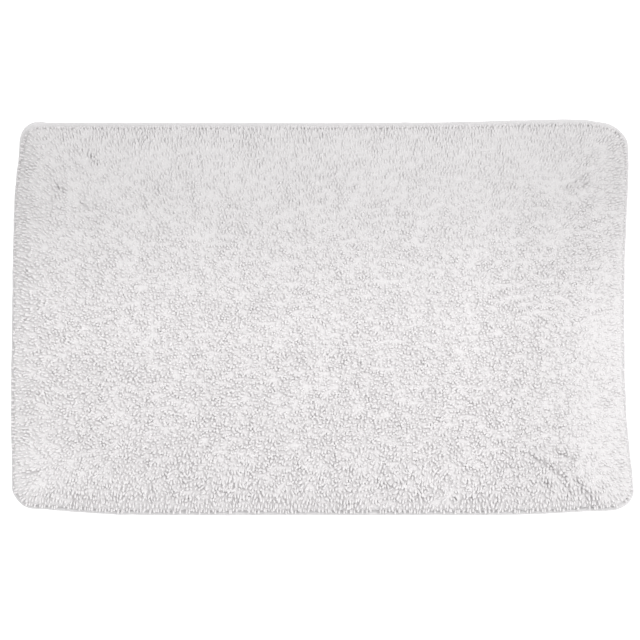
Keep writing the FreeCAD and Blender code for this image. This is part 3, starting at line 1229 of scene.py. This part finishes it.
@dataclass
class EdgeBinding:
    """Cotton tape folded round the mat's edge, sewn through both legs near their inner ends."""

    outline: MatOutline
    low: float
    high: float
    leg: float = 11 * MM
    thickness: float = 1.4 * MM
    cloth_inset: float = 1.4 * MM
    seam_inset: float = 8 * MM
    pitch: float = 3.4 * MM
    dip: float = 0.3 * MM
    stitch_reach: float = 1.3 * MM
    gather: float = 0.25 * MM
    gather_pitch: float = 5.2 * MM
    between: float = 0.35
    waver: Ripple = Ripple(0.25 * MM, 12, 60 * MM, 33)
    fold_steps: int = 8

    def section(self) -> list[tuple[float, float]]:
        """Draw the folded tape's closed section as insets and heights, inside on the right."""
        radius = (self.high - self.low) / 2
        middle = (self.high + self.low) / 2
        notch = 0.3 * MM
        outer = []
        for angle in np.linspace(-90, 90, self.fold_steps + 1):
            turn = math.radians(angle)
            outer.append((radius * (1 - math.cos(turn)), middle + radius * math.sin(turn)))
        top = [(inset * MM, self.high) for inset in (3.0, 4.6, 6.2, 7.2, 8.0, 8.8, 9.8)]
        end = [
            (self.leg - notch, self.high),
            (self.leg, self.high - notch),
            (self.leg - notch, self.high - self.thickness / 2),
            (self.leg, self.high - self.thickness + notch),
            (self.leg - notch, self.high - self.thickness),
        ]
        upper = top + end
        lower = [(inset, self.low + self.high - height) for inset, height in reversed(upper)]
        inner = [
            (self.cloth_inset + 0.8 * MM, self.high - self.thickness),
            (self.cloth_inset, middle + 0.15 * MM),
            (self.cloth_inset, middle - 0.15 * MM),
            (self.cloth_inset + 0.8 * MM, self.low + self.thickness),
        ]
        return outer + upper + inner + lower

    def seam(self) -> tuple[np.ndarray, np.ndarray]:
        """Find the middle of each stitch of the seam, and which way the seam runs there."""
        holes, _ = self.outline.path(self.seam_inset, self.pitch)
        middles = (holes + np.roll(holes, -1, axis=0)) / 2
        run = np.roll(holes, -1, axis=0) - holes
        return self.outline.settled(middles), run / np.linalg.norm(run, axis=1, keepdims=True)

    def build(self, finish: bpy.types.Material) -> bpy.types.Object:
        """Loft the section round the mat, drawn in at the stitches and gathered at the corners.

        Args:
            finish: The tape's material.

        Returns:
            The piece.
        """
        stations, normals = self.outline.path(0.0, self.pitch / 2)
        section = np.array(self.section())
        inset = section[None, :, 0]
        height = np.repeat(section[None, :, 1], len(stations), axis=0)
        middle = (self.high + self.low) / 2
        outer_face = np.sign(height - middle) * (np.abs(height - middle) > self.thickness / 2)
        hole = (np.arange(len(stations)) % 2 == 0)[:, None]
        drawn_in = self.dip * np.exp(-(((inset - self.seam_inset) / self.stitch_reach) ** 2))
        wave = self.waver.over(*stations.T)[:, None]
        bent = np.abs(normals).min(axis=1)[:, None] * math.sqrt(2)
        walk = np.arange(len(stations))[:, None] * self.pitch / 2
        folds = np.sin(2 * math.pi * walk / self.gather_pitch)
        gathers = self.gather * bent * folds * inset / self.leg
        tight = self.between + (1 - self.between) * hole
        height = height + outer_face * (gathers - drawn_in * tight)
        sideways = -inset + wave
        plan = stations[:, None, :] + normals[:, None, :] * sideways[..., None]
        places = np.concatenate([plan, height[..., None]], axis=2)
        count, corners = height.shape
        number = np.arange(count * corners).reshape(count, corners)
        ahead = np.roll(number, -1, axis=0)
        faces = np.stack(
            [number, ahead, np.roll(ahead, -1, axis=1), np.roll(number, -1, axis=1)], axis=-1
        ).reshape(-1, 4)
        settled = self.outline.settled(places.reshape(-1, 3))
        mesh = plain_mesh("edge_binding_tape", settled, faces.tolist())
        return fit(place("edge_binding_tape", mesh, finish), "edge_binding")


@dataclass
class BaseCloth:
    """The woven cloth that the yarn is tufted through."""

    outline: MatOutline
    low: float
    high: float
    inset: float = 1.4 * MM
    step: float = 6 * MM
    lowered: float = 0.1 * MM
    lift: Ripple = Ripple(0.08 * MM, 16, 40 * MM, 61)

    def build(self, finish: bpy.types.Material) -> bpy.types.Object:
        """Build the cloth, its top lifted a little between the rows.

        Args:
            finish: The cloth's material.

        Returns:
            The piece.
        """
        x, y = self.outline.grid(self.inset, self.step, self.step)
        top = self.high - self.lowered + self.lift.over(x, y)
        mesh = slab(self.outline, "base_cloth_weave", x, y, top, self.low)
        return fit(place("base_cloth_weave", mesh, finish), "base_cloth")

    def flat_size(self) -> tuple[float, float]:
        """Give the size that the cloth is cut to."""
        return 2 * (self.outline.half_y - self.inset), 2 * (self.outline.half_x - self.inset)


@dataclass
class BackStitches:
    """The yarn that crosses from tuft to tuft under the cloth, in straight rows."""

    outline: MatOutline
    low: float
    high: float
    inset: float = 16.4 * MM
    row_pitch: float = 4.8 * MM
    stitch: float = 6.6 * MM
    breadth: float = 2.2 * MM
    share_seen: float = 0.97
    corner_slack: float = 1 * MM

    def build(self, finish: bpy.types.Material) -> bpy.types.Object:
        """Lay one lozenge of yarn for each two legs of pile.

        Args:
            finish: The yarn's material.

        Returns:
            The piece.
        """
        x, y, _ = self.outline.rows(self.inset, self.row_pitch, self.stitch)
        inside = self.outline.inset(x, y) > self.inset - self.corner_slack
        middle = (self.low + self.high) / 2
        drawn = np.column_stack([x[inside], y[inside], np.full(inside.sum(), middle)])
        seeds = plain_mesh("back_stitch_seeds", self.outline.settled(drawn))
        tree = Recipe("back_stitch_recipe")
        bead = tree.add("GeometryNodeMeshUVSphere", {"Segments": 4, "Rings": 3, "Radius": 0.5})
        size = tree.joined(
            tree.size("Stitch Length", self.share_seen * self.stitch),
            tree.size("Stitch Breadth", self.breadth),
            tree.size("Stitch Depth", self.high - self.low),
        )
        inputs = {"Points": tree.source.outputs["Geometry"], "Scale": size}
        inputs["Instance"] = bead.outputs["Mesh"]
        beads = tree.add("GeometryNodeInstanceOnPoints", inputs)
        tree.close(beads.outputs[0], finish, ())
        return fit(tree.grow("back_stitch_rows", seeds, finish), "tuft_back_stitches")


@dataclass
class CareLabel:
    """A blank ribbon label, sewn down on all four sides of the underside."""

    outline: MatOutline
    low: Vector
    high: Vector
    corner: float = 1.5 * MM
    seam_inset: float = 2.5 * MM
    pucker: float = 0.12 * MM
    pucker_reach: float = 1.2 * MM
    step: float = 1.2 * MM

    def plan(self) -> MatOutline:
        """Give the label's own outline about its middle, lying as it was cut."""
        half = (self.high - self.low) / 2
        as_cut = Settling(0.0, 0.0, 0.0, 0.0, tugs=())
        return MatOutline(half.x, half.y, self.corner, as_cut)

    def middle(self) -> Vector:
        """Give the label's middle as drawn."""
        return (self.low + self.high) / 2

    def flat_size(self) -> tuple[float, float]:
        """Give the size that the ribbon is cut to."""
        return self.high.y - self.low.y, self.high.x - self.low.x

    def build(self, finish: bpy.types.Material) -> bpy.types.Object:
        """Build the ribbon, puckered slightly along its stitches.

        Args:
            finish: The ribbon's material.

        Returns:
            The piece.
        """
        outline = self.plan()
        x, y = outline.grid(0.0, self.step, self.step)
        away = (outline.inset(x, y) - self.seam_inset) / self.pucker_reach
        pull = self.pucker * np.exp(-(away**2))
        mesh = slab(
            self.outline,
            "care_label_ribbon",
            x + self.middle().x,
            y + self.middle().y,
            self.low.z + pull,
            self.high.z,
        )
        return fit(place("care_label_ribbon", mesh, finish), "care_label")

    def seam(self, pitch: float) -> tuple[np.ndarray, np.ndarray]:
        """Find the stitches round the label and which way they run."""
        half_x = (self.high.x - self.low.x) / 2 - self.seam_inset
        half_y = (self.high.y - self.low.y) / 2 - self.seam_inset
        signs = ((-1, -1), (1, -1), (1, 1), (-1, 1))
        corners = np.array([(side_x * half_x, side_y * half_y) for side_x, side_y in signs])
        middles, headings = [], []
        for start, end in zip(corners, np.roll(corners, -1, axis=0)):
            length = np.linalg.norm(end - start)
            count = round(length / pitch)
            share = (np.arange(count)[:, None] + 0.5) / count
            middles.append(start + share * (end - start))
            headings.append(np.repeat([(end - start) / length], count, axis=0))
        drawn = np.concatenate(middles) + np.array(self.middle()[:2])
        return self.outline.settled(drawn), np.concatenate(headings)


@dataclass
class LatexBacking:
    """The coat that locks the yarn in, its underside ribbed by the rows it covers."""

    outline: MatOutline
    high: float
    label: CareLabel
    inset: float = 11.3 * MM
    row_pitch: float = 4.8 * MM
    groove: float = 0.35 * MM
    lumps: Ripple = Ripple(0.06 * MM, 20, 30 * MM, 71)
    label_room: float = 0.6 * MM
    bed_clearance: float = 0.05 * MM
    step_x: float = 7 * MM
    step_y: float = 1.2 * MM

    def build(self, finish: bpy.types.Material) -> bpy.types.Object:
        """Build the coat, with a shallow bed for the label.

        Args:
            finish: The latex's material.

        Returns:
            The piece.
        """
        x, y = self.outline.grid(self.inset, self.step_x, self.step_y)
        low, high = self.label.low, self.label.high
        room = self.label_room
        middle_row = x[len(x) // 2]
        for side in (low.x - room, low.x, high.x, high.x + room):
            nearest = np.argmin(np.abs(middle_row - side))
            x[:, nearest] *= side / middle_row[nearest]
        ribs = 0.5 - 0.5 * np.cos(2 * math.pi * y / self.row_pitch + math.pi)
        under = self.groove * ribs + np.abs(self.lumps.over(x, y))
        bed = (x > low.x - room) & (x < high.x + room) & (y > low.y - room) & (y < high.y + room)
        under = np.where(bed, high.z + self.bed_clearance, under)
        mesh = slab(self.outline, "latex_coat", x, y, under, self.high)
        return fit(place("latex_coat", mesh, finish), "latex_backing")


@dataclass(frozen=True)
class SoftBox:
    """A square studio lamp that faces the mat."""

    name: str
    spot: tuple[float, float, float]
    side: float
    power: float

    def hang(self) -> None:
        """Put the lamp in the scene."""
        data = bpy.data.lights.new(self.name, "AREA")
        data.size = self.side
        data.energy = self.power
        lamp = link(self.name, data)
        lamp.location = self.spot
        lamp.rotation_euler = Vector(self.spot).to_track_quat("Z", "Y").to_euler()


@dataclass
class Studio:
    """A pale floor, soft studio light and the camera, high over the front edge."""

    elevation: float = 74.2
    distance: float = 7.0
    lens: float = 316.8
    aim: tuple[float, float, float] = (1 * MM, -3 * MM, 0.0)
    floor_side: float = 60.0
    floor_glow: float = 0.3
    air: float = 0.72
    lamps: tuple[SoftBox, ...] = (
        SoftBox("key_light", (1.4, -0.15, 2.4), side=2.0, power=42.0),
        SoftBox("fill_light", (-1.5, -0.3, 2.6), side=2.6, power=25.5),
    )

    def build(self) -> None:
        """Set up the camera, the floor, the lamps and the surrounding light."""
        self.add_camera()
        self.add_floor()
        for lamp in self.lamps:
            lamp.hang()
        world = bpy.data.worlds.new("studio_air")
        bpy.context.scene.world = world
        world.use_nodes = True
        background = world.node_tree.nodes["Background"]
        background.inputs["Color"].default_value = (1.0, 1.0, 1.0, 1.0)
        background.inputs["Strength"].default_value = self.air
        bpy.context.scene.view_settings.view_transform = "Standard"
        bpy.context.scene.cycles.diffuse_bounces = 8

    def add_camera(self) -> None:
        """Place the camera over the front edge and aim it at the mat."""
        camera = link("camera", bpy.data.cameras.new("camera"))
        height = math.radians(self.elevation)
        back = Vector((0.0, -math.cos(height), math.sin(height)))
        camera.location = Vector(self.aim) + self.distance * back
        camera.rotation_euler = back.to_track_quat("Z", "Y").to_euler()
        camera.data.lens = self.lens
        camera.data.clip_end = 100.0
        bpy.context.scene.camera = camera

    def add_floor(self) -> None:
        """Lay a plain white floor, lit faintly from below as a light table is."""
        half = self.floor_side / 2
        corners = [(-half, -half, 0), (half, -half, 0), (half, half, 0), (-half, half, 0)]
        mesh = plain_mesh("studio_floor", np.array(corners), [(0, 1, 2, 3)])
        material = bpy.data.materials.new("studio_floor")
        material.use_nodes = True
        shader = material.node_tree.nodes["Principled BSDF"]
        shader.inputs["Base Color"].default_value = (0.95, 0.95, 0.95, 1.0)
        shader.inputs["Roughness"].default_value = 0.9
        shader.inputs["Emission Color"].default_value = (1.0, 1.0, 1.0, 1.0)
        shader.inputs["Emission Strength"].default_value = self.floor_glow
        mesh.materials.append(material)
        link("studio_floor", mesh)


def main() -> None:
    logging.basicConfig(level=logging.INFO, format="%(name)s: %(message)s")
    Studio().build()
    tape_low, tape_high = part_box("edge_binding")
    cloth_low, cloth_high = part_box("base_cloth")
    _, coat_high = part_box("latex_backing")
    rows_low, rows_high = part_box("tuft_back_stitches")
    pile_low, pile_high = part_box("cut_pile")
    outline = MatOutline(half_x=tape_high.x, half_y=tape_high.y)
    cotton, thread = PileCotton().make(), PlyThread().make()

    ribbon = SatinRibbon().make()
    label = CareLabel(outline, *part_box("care_label"))
    label_piece = label.build(ribbon)
    label_stitches = StitchRun(
        "care_label_stitches", "care_label_thread", label.low.z, Side.DOWN, 2.4 * MM, sunk=0.25 * MM
    )
    label_thread = label_stitches.build(*label.seam(label_stitches.pitch), thread)
    coat = LatexBacking(outline, coat_high.z, label).build(LatexCoat().make())
    fluff_finish = FluffCotton().make()
    rows = BackStitches(outline, rows_low.z, rows_high.z).build(fluff_finish)
    cloth = BaseCloth(outline, cloth_low.z, cloth_high.z)
    cloth_piece = cloth.build(WovenCotton("base_weave", relief=0.2 * MM, thread=0.9 * MM).make())
    binding = EdgeBinding(outline, tape_low.z, tape_high.z)
    tape = binding.build(WovenCotton("tape_cotton").make())
    needle = StitchRun("binding_needle_stitches", "binding_needle_thread", tape_high.z, Side.UP)
    bobbin = StitchRun(
        "binding_bobbin_stitches", "binding_bobbin_thread", tape_low.z, Side.DOWN, sunk=0.3 * MM
    )
    seams = [run.build(*binding.seam(), thread) for run in (needle, bobbin)]
    cut_pile = CutPile(outline, pile_low.z, pile_high.z)
    fluff = PileFluff(cut_pile).build(fluff_finish)
    pile = cut_pile.build(cotton)


if __name__ == "__main__":
    main()
